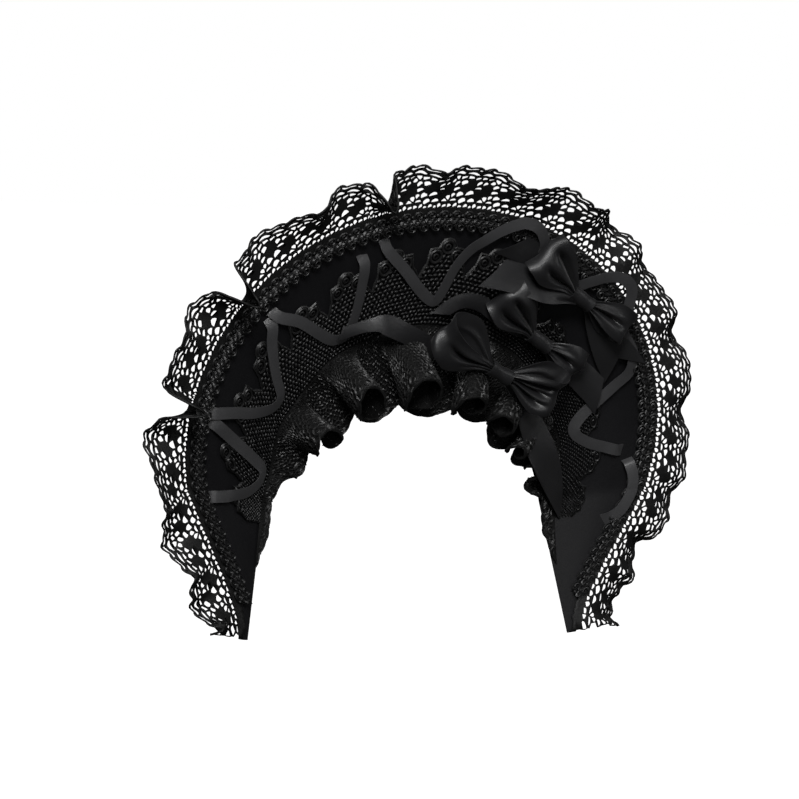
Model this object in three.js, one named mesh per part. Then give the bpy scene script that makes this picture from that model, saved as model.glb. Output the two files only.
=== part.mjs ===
// Lace bonnet: a stiff crescent brim, worn ear to ear like a halo, with lace, gimp, ribbon and bows.
// Millimetres and degrees. The origin is the top of the brim's inner edge, where the brim sits on
// the crown of the head. +Z is up and the decorated face looks towards -Y.
// A place on the brim is given by `run`, from -1 at one tip over 0 at the top to 1 at the other tip,
// and by a share of the brim's width, from 0 at the inner edge to 1 at the outer edge.

import * as THREE from 'three';

// The brim's inner edge: an arc over the crown, then a straight leg in front of each ear.
const CROWN_RADIUS = 87;
const LEG_LENGTH = 74;
const LEG_SPLAY = 10.5;
const LEG_LEAN = 16;

// The brim's width from the top to the tips, and how far it leans forward as it spreads.
const BRIM_WIDTH = 99;
const TIP_WIDTH = 5;
const TAPER_START = 2.6;
const TAPER_POWER = 1.75;
const FLARE_TOP = 25;
const FLARE_SIDE = 20;
const FLARE_SIDE_RUN = 0.6;
const CAMBER_SHARE = 0.04;

// Wall of each cloth, and the clearance between layers that are sewn on each other.
const BRIM_WALL = 2.4;
const LACE_WALL = 1;
const GIMP_WALL = 2;
const GUIPURE_WALL = 1.2;
const RIBBON_WALL = 1;
const SATIN_WALL = 1;
const LAY_GAP = 0.5;

// Trimmings.
const LACE_WIDTH = 28;
const LACE_SEAM = 4;
const LACE_EDGE_RUN = 2.4;
const LACE_END_RUN = 0.995;
const LACE_ROOT_SHARE = 0.35;
const GIMP_WIDTH = 11.5;
const GIMP_END_RUN = 0.9;
const FRILL_LENGTH = 52;
const FRILL_END_RUN = 0.8;
const FRILL_CURL = 1.15;
const FRILL_SWAY = 3.5;
const LACING_WIDTH = 6;
const LACING_CLIMB = 6;

// The gathered lace along the outer edge. Its tilt out of the brim's face at each lobe and fold,
// where a positive tilt comes forward and a negative one leans back.
const LACE_FOLDS = [
  { run: -1, tilt: 0 },
  { run: -0.94, tilt: 30 },
  { run: -0.85, tilt: -8 },
  { run: -0.78, tilt: 18 },
  { run: -0.69, tilt: -12 },
  { run: -0.61, tilt: 24 },
  { run: -0.54, tilt: -6 },
  { run: -0.505, tilt: 40 },
  { run: -0.47, tilt: 12 },
  { run: -0.43, tilt: 14 },
  { run: -0.39, tilt: -8 },
  { run: -0.33, tilt: 28 },
  { run: -0.26, tilt: 4 },
  { run: -0.205, tilt: 30 },
  { run: -0.155, tilt: 4 },
  { run: -0.11, tilt: 38 },
  { run: -0.065, tilt: 4 },
  { run: -0.03, tilt: 24 },
  { run: 0.01, tilt: 10 },
  { run: 0.085, tilt: 42 },
  { run: 0.125, tilt: 14 },
  { run: 0.185, tilt: 20 },
  { run: 0.235, tilt: -42 },
  { run: 0.275, tilt: -30 },
  { run: 0.32, tilt: -44 },
  { run: 0.365, tilt: -30 },
  { run: 0.415, tilt: -44 },
  { run: 0.46, tilt: -28 },
  { run: 0.51, tilt: -46 },
  { run: 0.585, tilt: -26 },
  { run: 0.625, tilt: -42 },
  { run: 0.67, tilt: -28 },
  { run: 0.725, tilt: -62 },
  { run: 0.81, tilt: -40 },
  { run: 0.87, tilt: -54 },
  { run: 1, tilt: -30 },
];

// The line where the guipure lace is gathered and sewn down, as a share of the brim's width.
const GATHER_LINE = [
  { run: -0.8, share: 0.08 },
  { run: -0.57, share: 0.06 },
  { run: -0.4, share: 0.2 },
  { run: -0.2, share: 0.29 },
  { run: 0, share: 0.33 },
  { run: 0.2, share: 0.33 },
  { run: 0.46, share: 0.26 },
  { run: 0.65, share: 0.14 },
  { run: 0.8, share: 0.1 },
];

// The outward half of that lace: one scallop a row, reaching to a share of the brim's width.
const SCALLOPS = [
  { run: -0.63, reach: 0.5 },
  { run: -0.54, reach: 0.7 },
  { run: -0.45, reach: 0.71 },
  { run: -0.36, reach: 0.77 },
  { run: -0.27, reach: 0.74 },
  { run: -0.18, reach: 0.78 },
  { run: -0.09, reach: 0.76 },
  { run: 0, reach: 0.77 },
  { run: 0.09, reach: 0.78 },
  { run: 0.18, reach: 0.72 },
  { run: 0.27, reach: 0.64 },
  { run: 0.36, reach: 0.58 },
  { run: 0.45, reach: 0.6 },
  { run: 0.54, reach: 0.57 },
  { run: 0.63, reach: 0.46 },
];
// One scallop's outline: across its pitch, and how much of its lobe it reaches there.
const SCALLOP_OUTLINE = [
  { across: -0.5, lobe: 0.5 },
  { across: -0.3, lobe: 0.84 },
  { across: -0.1, lobe: 1 },
  { across: 0.1, lobe: 1 },
  { across: 0.3, lobe: 0.84 },
];
// Its rows from the gather line to the edge, between which the rings are cut through.
const SCALLOP_ROWS = [0, 0.52, 0.7, 0.78, 0.92, 1];
const SCALLOP_PITCH = 0.09;

// The inward half, a deep frill over the inner edge: the tops of its pipes, how steeply each
// stands out of the brim at its root, and its length as a share of FRILL_LENGTH.
const FRILL_FOLDS = [
  { run: -0.76, puff: 32, length: 0.12 },
  { run: -0.67, puff: 34, length: 0.13 },
  { run: -0.58, puff: 38, length: 0.16 },
  { run: -0.49, puff: 72, length: 0.5 },
  { run: -0.4, puff: 58, length: 0.68 },
  { run: -0.305, puff: 82, length: 0.72 },
  { run: -0.205, puff: 88, length: 0.86 },
  { run: -0.105, puff: 86, length: 0.86 },
  { run: -0.005, puff: 76, length: 1 },
  { run: 0.095, puff: 64, length: 0.86 },
  { run: 0.195, puff: 46, length: 0.94 },
  { run: 0.295, puff: 38, length: 0.94 },
  { run: 0.39, puff: 38, length: 0.78 },
  { run: 0.48, puff: 48, length: 0.74 },
  { run: 0.57, puff: 46, length: 0.34 },
  { run: 0.66, puff: 42, length: 0.15 },
  { run: 0.75, puff: 38, length: 0.12 },
];
const FRILL_VALLEY = 12;

// The ribbon that is laced to and fro over the guipure, from one tip to the other: each place
// that it passes. Near the outer edge it rides up over the gimp.
const LACING = [
  { run: -0.79, share: 0.5 },
  { run: -0.735, share: 0.2 },
  { run: -0.65, share: 0.76 },
  { run: -0.56, share: 0.17 },
  { run: -0.495, share: 0.76 },
  { run: -0.395, share: 0.32 },
  { run: -0.315, share: 0.77 },
  { run: -0.205, share: 0.39 },
  { run: -0.13, share: 0.77 },
  { run: 0.012, share: 0.48 },
  { run: 0.055, share: 0.82 },
  { run: 0.1, share: 1.02 },
  { run: 0.16, share: 0.86 },
  { run: 0.25, share: 0.87 },
  { run: 0.3, share: 1.06 },
  { run: 0.345, share: 0.83 },
  { run: 0.42, share: 0.84 },
  { run: 0.46, share: 0.4 },
  { run: 0.55, share: 0.66 },
  { run: 0.62, share: 0.98 },
  { run: 0.70, share: 0.7 },
  { run: 0.745, share: 0.3 },
  { run: 0.79, share: 0.5 },
];

// The three satin bows: the place of each knot, its height over the brim as a share of
// BOW_STAND, its turn from the brim's run, the length of each loop as a share of LOOP_LENGTH and
// the sweep of the right loop towards the outer edge, then the way of the two tails, tip to tip.
const BOWS = [
  {
    name: 'bow_1', run: 0.243, share: 0.835, lift: 1.35, turn: 4, left: 1, right: 1.05, sweep: 15,
    tails: [
      { run: 0.085, share: 0.7, lift: 0.63 },
      { run: 0.243, share: 0.835, lift: 0.85 },
      { run: 0.385, share: 0.8, lift: 0.8 },
    ],
  },
  {
    name: 'bow_2', run: 0.235, share: 0.49, lift: 1.1, turn: 2, left: 1.03, right: 0.95, sweep: 4,
    tails: [
      { run: 0.04, share: 0.42, lift: 0.39 },
      { run: 0.235, share: 0.49, lift: 0.6 },
      { run: 0.4, share: 0.58, lift: 0.6 },
    ],
  },
  {
    name: 'bow_3', run: 0.17, share: 0.245, lift: 2.7, turn: -4, left: 1.1, right: 1.1, sweep: 10,
    tails: [
      { run: -0.21, share: 0.41, lift: 0.53 },
      { run: -0.08, share: 0.46, lift: 0.7 },
      { run: 0.05, share: 0.4, lift: 1.45 },
      { run: 0.17, share: 0.245, lift: 2 },
      { run: 0.3, share: 0.22, lift: 1.85 },
      { run: 0.45, share: 0.13, lift: 2.2 },
      { run: 0.58, share: 0.08, lift: 2.1 },
    ],
  },
];
const BOW_STAND = 10;
const LOOP_LENGTH = 31;
const SATIN_WIDTH = 25;
const TAIL_WIDTH = 16;
const BOW_PINCH = 3.6;
const BOW_CENTRE_RISE = 2;
const LOOP_RISE = 12;
const LOOP_UNDER_SHARE = 0.35;
const KNOT_LENGTH = 11;
const KNOT_EASE = 1.6;
const LOOP_GATHERED = 0.1;
const LOOP_SPREAD = 0.95;
const TAIL_POINT = 15;
const TAIL_SPREAD = 26;

// The comb that holds the bonnet in the hair, sewn flat to the brim's back, and how far its spine
// stands above the inner edge.
const COMB_WIDTH = 44;
const COMB_SPINE = 6;
const COMB_THICKNESS = 1.6;
const COMB_TOOTH_LENGTH = 24;
const COMB_TOOTH_WIDTH = 1.6;
const COMB_TEETH = 10;
const COMB_RISE = 18;
const COMB_TIP_SHARE = 0.4;

// How finely each sheet is divided, along and across.
const GRID = {
  brim: [44, 7],
  lace: [128, 5],
  gimp: [60, 1],
  frill: [96, 5],
  lacing: [110, 1],
  loops: [22, 2],
  knot: [10, 1],
  tails: [12, 2],
};
const LACE_GAP_EVERY = 4;
const TAIL_STEPS = 64;
// How far apart two places are for the direction between them, as a share.
const RUN_STEP = 0.002;

const radians = THREE.MathUtils.degToRad;
const mix = THREE.MathUtils.lerp;

// A value read from a table at a place along the run, eased from row to row.
function fromTable(rows, run, column) {
  if (run <= rows[0].run) return rows[0][column];
  for (let i = 1; i < rows.length; i += 1) {
    if (run <= rows[i].run) {
      const part = (run - rows[i - 1].run) / (rows[i].run - rows[i - 1].run);
      const eased = 0.5 - 0.5 * Math.cos(Math.PI * part);
      return mix(rows[i - 1][column], rows[i][column], eased);
    }
  }
  return rows[rows.length - 1][column];
}

function brimWidth(run) {
  const taper = Math.max(0, 1 - Math.abs(run) ** TAPER_START) ** TAPER_POWER;
  return mix(TIP_WIDTH, BRIM_WIDTH, taper);
}

// The inner edge at a place on the run, with the directions along the brim's width and face.
function brimFrame(run) {
  const arcAngle = radians(90 - LEG_SPLAY);
  const arcLength = CROWN_RADIUS * arcAngle;
  const along = Math.abs(run) * (arcLength + LEG_LENGTH);
  const angle = Math.min(along / CROWN_RADIUS, arcAngle);
  const leg = Math.max(0, along - arcLength);
  const foot = new THREE.Vector3(
    CROWN_RADIUS * Math.sin(angle) + leg * Math.cos(angle),
    -LEG_LEAN * leg / LEG_LENGTH,
    CROWN_RADIUS * (Math.cos(angle) - 1) - leg * Math.sin(angle),
  );
  const sideways = Math.sin(Math.min(1, Math.abs(run) / FLARE_SIDE_RUN) * Math.PI / 2) ** 2;
  const flare = radians(mix(FLARE_TOP, FLARE_SIDE, sideways));
  const outward = new THREE.Vector3(Math.sin(angle), 0, Math.cos(angle));
  const forward = new THREE.Vector3(0, -1, 0);
  const across = outward.clone().multiplyScalar(Math.cos(flare))
    .addScaledVector(forward, Math.sin(flare));
  const face = outward.clone().multiplyScalar(-Math.sin(flare))
    .addScaledVector(forward, Math.cos(flare));
  const side = Math.sign(run) || 1;
  for (const vector of [foot, across, face]) vector.x *= side;
  return { foot, across, face };
}

// A point at a share of the brim's width, raised from the middle of the brim's wall.
function onBrim(run, share, lift = 0) {
  const { foot, across, face } = brimFrame(run);
  const width = brimWidth(run);
  const camber = width * CAMBER_SHARE * Math.sin(Math.PI * THREE.MathUtils.clamp(share, 0, 1));
  return foot.addScaledVector(across, width * share).addScaledVector(face, camber + lift);
}

// The local frame of a point on the brim: along the run, outward, and out of the face.
function faceFrame(run, share) {
  const along = onBrim(run + RUN_STEP, share).sub(onBrim(run - RUN_STEP, share)).normalize();
  const outward = onBrim(run, share + RUN_STEP).sub(onBrim(run, share - RUN_STEP));
  const face = along.clone().cross(outward).normalize();
  return { along, outward: face.clone().cross(along), face };
}

// A closed wall of even thickness on both sides of a surface. The surface is asked at each knot
// of a grid, `ring` closes it along its columns, and `open` leaves cells out as gaps.
function sheet({ grid, surface, wall, ring = false, open = () => false }) {
  const [columns, rows] = grid;
  const across = ring ? columns : columns + 1;
  const index = (i, j) => (ring ? (i + columns) % columns : i) * (rows + 1) + j;
  const points = [];
  for (let i = 0; i < across; i += 1) {
    for (let j = 0; j <= rows; j += 1) points.push(surface(i / columns, j / rows, i, j));
  }
  const front = [];
  const back = [];
  for (let i = 0; i < across; i += 1) {
    for (let j = 0; j <= rows; j += 1) {
      const before = ring ? i - 1 : Math.max(0, i - 1);
      const after = ring ? i + 1 : Math.min(columns, i + 1);
      const alongRow = points[index(after, j)].clone().sub(points[index(before, j)]);
      const acrossRow = points[index(i, Math.min(rows, j + 1))].clone()
        .sub(points[index(i, Math.max(0, j - 1))]);
      const normal = alongRow.cross(acrossRow).normalize();
      const point = points[index(i, j)];
      front.push(...point.clone().addScaledVector(normal, wall / 2));
      back.push(...point.clone().addScaledVector(normal, -wall / 2));
    }
  }
  const behind = points.length;
  const kept = (i, j) => {
    const column = ring ? (i + columns) % columns : i;
    if (column < 0 || column >= columns || j < 0 || j >= rows) return false;
    return !open(column, j);
  };
  const triangles = [];
  const edge = (from, to) => {
    triangles.push(from, from + behind, to + behind, from, to + behind, to);
  };
  for (let i = 0; i < columns; i += 1) {
    for (let j = 0; j < rows; j += 1) {
      if (!kept(i, j)) continue;
      const [a, b, c, d] = [index(i, j), index(i + 1, j), index(i + 1, j + 1), index(i, j + 1)];
      triangles.push(a, b, c, a, c, d);
      triangles.push(a + behind, c + behind, b + behind, a + behind, d + behind, c + behind);
      if (!kept(i, j - 1)) edge(a, b);
      if (!kept(i + 1, j)) edge(b, c);
      if (!kept(i, j + 1)) edge(c, d);
      if (!kept(i - 1, j)) edge(d, a);
    }
  }
  const geometry = new THREE.BufferGeometry();
  geometry.setAttribute('position', new THREE.Float32BufferAttribute([...front, ...back], 3));
  geometry.setIndex(triangles);
  geometry.computeVertexNormals();
  return geometry;
}

// Materials, each cloth with its own black.
const MATERIALS = {
  brimSatin: new THREE.MeshStandardMaterial({ color: 0x0b0b0c, roughness: 0.55, metalness: 0 }),
  cottonLace: new THREE.MeshStandardMaterial({ color: 0x0a0a0a, roughness: 0.85, metalness: 0 }),
  gimp: new THREE.MeshStandardMaterial({ color: 0x0c0c0c, roughness: 0.6, metalness: 0 }),
  guipure: new THREE.MeshStandardMaterial({ color: 0x0d0d0d, roughness: 0.7, metalness: 0 }),
  bowSatin: new THREE.MeshStandardMaterial({ color: 0x101011, roughness: 0.35, metalness: 0 }),
  comb: new THREE.MeshStandardMaterial({ color: 0x141414, roughness: 0.3, metalness: 0 }),
};

function piece(name, geometry, material) {
  const mesh = new THREE.Mesh(geometry, material);
  mesh.name = name;
  return mesh;
}

// Heights of the layers, each the middle of its wall over the middle of the brim's wall.
const LACE_LIFT = BRIM_WALL / 2 + LAY_GAP + LACE_WALL / 2;
const GIMP_LIFT = LACE_LIFT + LACE_WALL / 2 + LAY_GAP + GIMP_WALL / 2;
const GUIPURE_LIFT = BRIM_WALL / 2 + LAY_GAP + GUIPURE_WALL / 2;
const LACING_LOW = GUIPURE_LIFT + GUIPURE_WALL / 2 + LAY_GAP + RIBBON_WALL / 2;
const LACING_HIGH = GIMP_LIFT + GIMP_WALL / 2 + LAY_GAP + RIBBON_WALL / 2;

function brim() {
  const surface = (a, b) => onBrim(mix(-1, 1, a), b);
  return sheet({ grid: GRID.brim, surface, wall: BRIM_WALL });
}

// From its seam on the brim's face the lace runs out over the edge, tilting more and more.
function outerLace() {
  const [, rows] = GRID.lace;
  const free = rows - 1;
  const surface = (a, b, i, j) => {
    const run = mix(-LACE_END_RUN, LACE_END_RUN, a);
    if (j === 0) return onBrim(run, 1 - LACE_SEAM / brimWidth(run), LACE_LIFT);
    const { outward, face } = faceFrame(run, 1);
    const point = onBrim(run, 1, LACE_LIFT).addScaledVector(outward, LACE_EDGE_RUN);
    const tilt = radians(fromTable(LACE_FOLDS, run, 'tilt'));
    const length = LACE_WIDTH / free;
    for (let k = 1; k < j; k += 1) {
      const turned = tilt * Math.min(1, (k - 0.5) / free / LACE_ROOT_SHARE);
      point.addScaledVector(outward, length * Math.cos(turned));
      point.addScaledVector(face, length * Math.sin(turned));
    }
    return point;
  };
  const open = (i, j) => {
    if (j === 2) return i % LACE_GAP_EVERY === 1;
    if (j === 3) return i % LACE_GAP_EVERY === 3;
    return false;
  };
  return sheet({ grid: GRID.lace, surface, wall: LACE_WALL, open });
}

function gimpBraid() {
  const surface = (a, b) => {
    const run = mix(-GIMP_END_RUN, GIMP_END_RUN, a);
    return onBrim(run, 1 - GIMP_WIDTH * (1 - b) / brimWidth(run), GIMP_LIFT);
  };
  return sheet({ grid: GRID.gimp, surface, wall: GIMP_WALL });
}

// The scalloped half lies flat on the brim, with three rings cut through each scallop.
function scallopLace() {
  const parts = SCALLOP_OUTLINE.length;
  const columns = SCALLOPS.length * parts;
  const surface = (a, b, i, j) => {
    const scallop = SCALLOPS[Math.min(Math.floor(i / parts), SCALLOPS.length - 1)];
    const outline = i === columns ? { across: 0.5, lobe: SCALLOP_OUTLINE[0].lobe }
      : SCALLOP_OUTLINE[i % parts];
    const run = scallop.run + outline.across * SCALLOP_PITCH;
    const gather = fromTable(GATHER_LINE, run, 'share') + LAY_GAP / brimWidth(run);
    const reach = fromTable(SCALLOPS, run, 'reach');
    const edge = mix(gather, reach, outline.lobe);
    return onBrim(run, mix(gather, edge, SCALLOP_ROWS[j]), GUIPURE_LIFT);
  };
  const open = (i, j) => {
    const part = i % parts;
    return (j === 1 && (part === 1 || part === 3)) || (j === 3 && part === 2);
  };
  const grid = [columns, SCALLOP_ROWS.length - 1];
  return sheet({ grid, surface, wall: GUIPURE_WALL, open });
}

// The frill's pipes: at each place the cloth leaves the gather line at an angle to the brim and
// curls over towards the head, and between two pipes it lies back in a valley.
function innerFrill() {
  const [, rows] = GRID.frill;
  const surface = (a, b, i, j) => {
    const run = mix(-FRILL_END_RUN, FRILL_END_RUN, a);
    const gather = fromTable(GATHER_LINE, run, 'share') - LAY_GAP / brimWidth(run);
    const { across, face } = brimFrame(run);
    const { along } = faceFrame(run, gather);
    const phase = foldPhase(run);
    const crest = 0.5 + 0.5 * Math.cos(phase);
    const lean = mix(FRILL_VALLEY, fromTable(FRILL_FOLDS, run, 'puff'), crest);
    const length = FRILL_LENGTH * fromTable(FRILL_FOLDS, run, 'length') / rows;
    const point = onBrim(run, gather, GUIPURE_LIFT);
    for (let k = 1; k <= j; k += 1) {
      const turned = radians(lean * (1 - FRILL_CURL * crest * (k - 0.5) / rows));
      point.addScaledVector(across, -length * Math.cos(turned));
      point.addScaledVector(face, length * Math.sin(turned));
    }
    return point.addScaledVector(along, FRILL_SWAY * Math.sin(2 * phase) * b);
  };
  return sheet({ grid: GRID.frill, surface, wall: GUIPURE_WALL });
}

// The phase of the frill's folds: a whole turn from the top of one pipe to the next.
function foldPhase(run) {
  const rows = FRILL_FOLDS;
  const last = rows.length - 1;
  let i = 0;
  while (i < last - 1 && run > rows[i + 1].run) i += 1;
  const part = (run - rows[i].run) / (rows[i + 1].run - rows[i].run);
  return 2 * Math.PI * (i + part);
}

// The lacing ribbon follows a smooth line through its places and climbs over the gimp.
function lacingRibbon() {
  const places = LACING.map(({ run, share }) => new THREE.Vector2(run, share));
  const line = new THREE.SplineCurve(places);
  const surface = (a, b) => {
    const place = line.getPoint(a);
    const toEdge = brimWidth(place.x) * (1 - place.y);
    const low = THREE.MathUtils.smoothstep(toEdge, GIMP_WIDTH + LACING_WIDTH / 2,
      GIMP_WIDTH + LACING_WIDTH / 2 + LACING_CLIMB);
    const lift = mix(LACING_HIGH, LACING_LOW, low);
    const ahead = line.getPoint(Math.min(1, a + RUN_STEP));
    const before = line.getPoint(Math.max(0, a - RUN_STEP));
    const along = onBrim(ahead.x, ahead.y).sub(onBrim(before.x, before.y)).normalize();
    const { face } = faceFrame(place.x, Math.min(1 - RUN_STEP, place.y));
    const sideways = face.clone().cross(along).normalize();
    return onBrim(place.x, place.y, lift)
      .addScaledVector(sideways, (b - 0.5) * LACING_WIDTH);
  };
  return sheet({ grid: GRID.lacing, surface, wall: RIBBON_WALL });
}

// A bow's two loops are one band, closed on itself and pinched in the middle.
function bowLoops({ left, right, sweep }) {
  const surface = (a, b) => {
    const turn = 2 * Math.PI * a;
    const reach = Math.abs(Math.cos(turn));
    const length = LOOP_LENGTH * (Math.cos(turn) < 0 ? left : right);
    const out = Math.cos(turn) * length;
    const spread = THREE.MathUtils.smoothstep(reach, LOOP_GATHERED, LOOP_SPREAD);
    const half = mix(BOW_PINCH, SATIN_WIDTH, spread) / 2;
    const rise = Math.sin(turn) * (BOW_CENTRE_RISE / 2 + LOOP_RISE * reach * reach);
    return new THREE.Vector3(
      out,
      mix(-half, half, b) + Math.max(0, out - KNOT_LENGTH / 2) * Math.tan(radians(sweep)),
      rise > 0 ? rise : rise * mix(1, LOOP_UNDER_SHARE, reach),
    );
  };
  return sheet({ grid: GRID.loops, surface, wall: SATIN_WALL, ring: true });
}

// The knot is a short band wound round the pinched middle of the loops.
function bowKnot() {
  const half = BOW_PINCH / 2 + SATIN_WALL + KNOT_EASE;
  const rise = BOW_CENTRE_RISE / 2 + SATIN_WALL + KNOT_EASE;
  const surface = (a, b) => {
    const turn = -2 * Math.PI * a;
    return new THREE.Vector3(
      mix(-0.5, 0.5, b) * KNOT_LENGTH,
      half * Math.cos(turn),
      rise * Math.sin(turn),
    );
  };
  return sheet({ grid: GRID.knot, surface, wall: SATIN_WALL, ring: true });
}

// The two tails are one ribbon that passes behind the knot, each end cut to a point.
function bowTails({ run, tails }) {
  const line = new THREE.CatmullRomCurve3(
    tails.map((at) => new THREE.Vector3(at.run, at.share, at.lift * BOW_STAND)),
  );
  const steps = TAIL_STEPS;
  const track = [];
  let length = 0;
  for (let k = 0; k <= steps; k += 1) {
    const at = line.getPoint(k / steps);
    const point = onBrim(at.x, at.y, at.z);
    if (k > 0) length += point.distanceTo(track[k - 1].point);
    track.push({ at, point, length });
  }
  const knot = track.reduce((best, row) => (
    Math.abs(row.at.x - run) < Math.abs(best.at.x - run) ? row : best));
  const placeAt = (distance) => {
    const wanted = THREE.MathUtils.clamp(distance, 0, length);
    let k = 1;
    while (k < steps && track[k].length < wanted) k += 1;
    const span = track[k].length - track[k - 1].length;
    return line.getPoint((k - 1 + (wanted - track[k - 1].length) / span) / steps);
  };
  const surface = (a, b) => {
    const distance = a * length;
    const at = placeAt(distance);
    const ahead = placeAt(distance + SATIN_WALL);
    const before = placeAt(distance - SATIN_WALL);
    const along = onBrim(ahead.x, ahead.y, ahead.z)
      .sub(onBrim(before.x, before.y, before.z)).normalize();
    const { face } = faceFrame(at.x, THREE.MathUtils.clamp(at.y, RUN_STEP, 1 - RUN_STEP));
    const sideways = face.clone().cross(along).normalize();
    const toEnd = Math.min(distance, length - distance);
    const toKnot = Math.abs(distance - knot.length);
    const spread = THREE.MathUtils.smoothstep(toKnot, 0, TAIL_SPREAD);
    const full = mix(BOW_PINCH, TAIL_WIDTH, spread);
    const slant = (b - 0.5) * TAIL_POINT * Math.max(0, 1 - toEnd / TAIL_POINT);
    return onBrim(at.x, at.y, at.z).addScaledVector(sideways, (b - 0.5) * full)
      .addScaledVector(along, a < 0.5 ? slant : -slant);
  };
  return sheet({ grid: GRID.tails, surface, wall: SATIN_WALL });
}

function bow(row) {
  const { run, share, lift, turn, name } = row;
  const { along, outward, face } = faceFrame(run, share);
  const group = new THREE.Group();
  const axes = new THREE.Matrix4().makeBasis(along, outward, face);
  group.quaternion.setFromRotationMatrix(axes);
  group.rotateZ(radians(turn));
  group.position.copy(onBrim(run, share, lift * BOW_STAND));
  group.add(piece(`${name}_loops`, bowLoops(row), MATERIALS.bowSatin));
  group.add(piece(`${name}_knot`, bowKnot(), MATERIALS.bowSatin));
  return group;
}

// The comb's outline: a spine with tapered teeth below it.
function hairComb() {
  const half = COMB_WIDTH / 2;
  const outline = new THREE.Shape();
  outline.moveTo(-half, 0);
  const pitch = (COMB_WIDTH - COMB_TOOTH_WIDTH) / (COMB_TEETH - 1);
  for (let k = 0; k < COMB_TEETH; k += 1) {
    const left = -half + k * pitch;
    const narrowed = COMB_TOOTH_WIDTH * (1 - COMB_TIP_SHARE) / 2;
    outline.lineTo(left, -COMB_SPINE);
    outline.lineTo(left + narrowed, -COMB_SPINE - COMB_TOOTH_LENGTH);
    outline.lineTo(left + COMB_TOOTH_WIDTH - narrowed, -COMB_SPINE - COMB_TOOTH_LENGTH);
    outline.lineTo(left + COMB_TOOTH_WIDTH, -COMB_SPINE);
  }
  outline.lineTo(half, 0);
  return new THREE.ExtrudeGeometry(outline, { depth: COMB_THICKNESS, bevelEnabled: false });
}

const bonnet = new THREE.Group();
bonnet.add(piece('brim', brim(), MATERIALS.brimSatin));
bonnet.add(piece('outer_lace', outerLace(), MATERIALS.cottonLace));
bonnet.add(piece('gimp_braid', gimpBraid(), MATERIALS.gimp));
bonnet.add(piece('scallop_lace', scallopLace(), MATERIALS.guipure));
bonnet.add(piece('inner_frill', innerFrill(), MATERIALS.guipure));
bonnet.add(piece('lacing_ribbon', lacingRibbon(), MATERIALS.bowSatin));
for (const row of BOWS) {
  bonnet.add(bow(row));
  bonnet.add(piece(`${row.name}_tails`, bowTails(row), MATERIALS.bowSatin));
}

const comb = piece('hair_comb', hairComb(), MATERIALS.comb);
const middle = brimFrame(0);
comb.rotation.x = radians(90 + FLARE_TOP);
comb.position.copy(middle.foot).addScaledVector(middle.across, COMB_RISE)
  .addScaledVector(middle.face, -(BRIM_WALL / 2 + LAY_GAP + COMB_THICKNESS));
bonnet.add(comb);

export default bonnet;
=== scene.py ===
"""Lace bonnet: real thread laces, looped gimp, laced ribbon and satin bows on a crescent brim.

Lengths are millimetres until a piece is laid in its place, where they become metres.
Angles are degrees.
A place on the brim is a `run`, -1 at one tip over 0 at the top to 1 at the other tip, and a share
of the brim's width, 0 at the inner edge and 1 at the outer edge.
"""

from collections import namedtuple
from math import atan2, cos, pi, radians, sin

import bmesh
import bpy
import numpy as np
from mathutils import Matrix, Vector
from mathutils.geometry import delaunay_2d_cdt


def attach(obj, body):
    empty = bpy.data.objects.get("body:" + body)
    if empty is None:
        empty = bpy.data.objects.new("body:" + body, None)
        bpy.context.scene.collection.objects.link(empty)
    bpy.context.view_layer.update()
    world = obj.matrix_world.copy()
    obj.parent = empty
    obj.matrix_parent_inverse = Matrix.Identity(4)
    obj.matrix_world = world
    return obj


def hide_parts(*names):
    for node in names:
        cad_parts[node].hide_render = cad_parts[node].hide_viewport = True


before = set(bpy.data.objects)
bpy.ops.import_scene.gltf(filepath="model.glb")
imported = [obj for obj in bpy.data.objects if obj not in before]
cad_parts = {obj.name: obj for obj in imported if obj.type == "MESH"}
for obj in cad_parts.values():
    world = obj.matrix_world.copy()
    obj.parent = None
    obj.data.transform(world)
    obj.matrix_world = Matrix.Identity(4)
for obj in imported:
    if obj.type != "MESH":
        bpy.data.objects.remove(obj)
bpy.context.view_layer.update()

MM = 0.001

# The brim, as it is built.
CROWN_RADIUS = 87
LEG_LENGTH = 74
LEG_SPLAY = 10.5
LEG_LEAN = 16
BRIM_WIDTH = 99
TIP_WIDTH = 5
TAPER_START = 2.6
TAPER_POWER = 1.75
FLARE_TOP = 25
FLARE_SIDE = 20
FLARE_SIDE_RUN = 0.6
CAMBER_SHARE = 0.04
BRIM_WALL = 2.4
BRIM_ROUNDING = 0.9
FRAME_STEP = 0.002
LACE_LIFT = 2.2
GUIPURE_LIFT = 2.3
GIMP_LIFT = 4.2

# Trimmings. The laces and the gimp stop at their end runs. The frill's folds lean sideways by so
# much of the gap between pleats, and its hem is rounded there, the more the longer its cloth is.
LACE_EDGE_RUN = 2.4
LACE_WIDTH = 28
LACE_END_RUN = 0.995
LACE_ROOT_SHARE = 0.35
GIMP_WIDTH = 12.8
GIMP_MIDDLE = -3.4
GIMP_END_RUN = 0.9
FRILL_LENGTH = 53
FRILL_END_RUN = 0.8
FRILL_CURL = 0.15
FRILL_VALLEY_SWAY = 136
FRILL_CREST_SWAY = 45
FRILL_ROUNDING = 6.5
FRILL_ROUNDED_FROM = 12
FRILL_SWAYED_FROM = 10
FRILL_LONG = 40
FRILL_STEPS = 24
LACING_WIDTH = 6.4
LACING_WALL = 0.35
SCALLOP_PITCH = 0.09
SATIN_WALL = 0.45
KNOT_LENGTH = 15


def evenly(steps, length=1):
    """Places from 0 to a length, both ends with them."""
    return [k * length / steps for k in range(steps + 1)]


def table(columns, rows):
    """Rows whose values have names."""
    row = namedtuple("Row", columns)
    return [row(*values) for values in rows]


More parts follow.
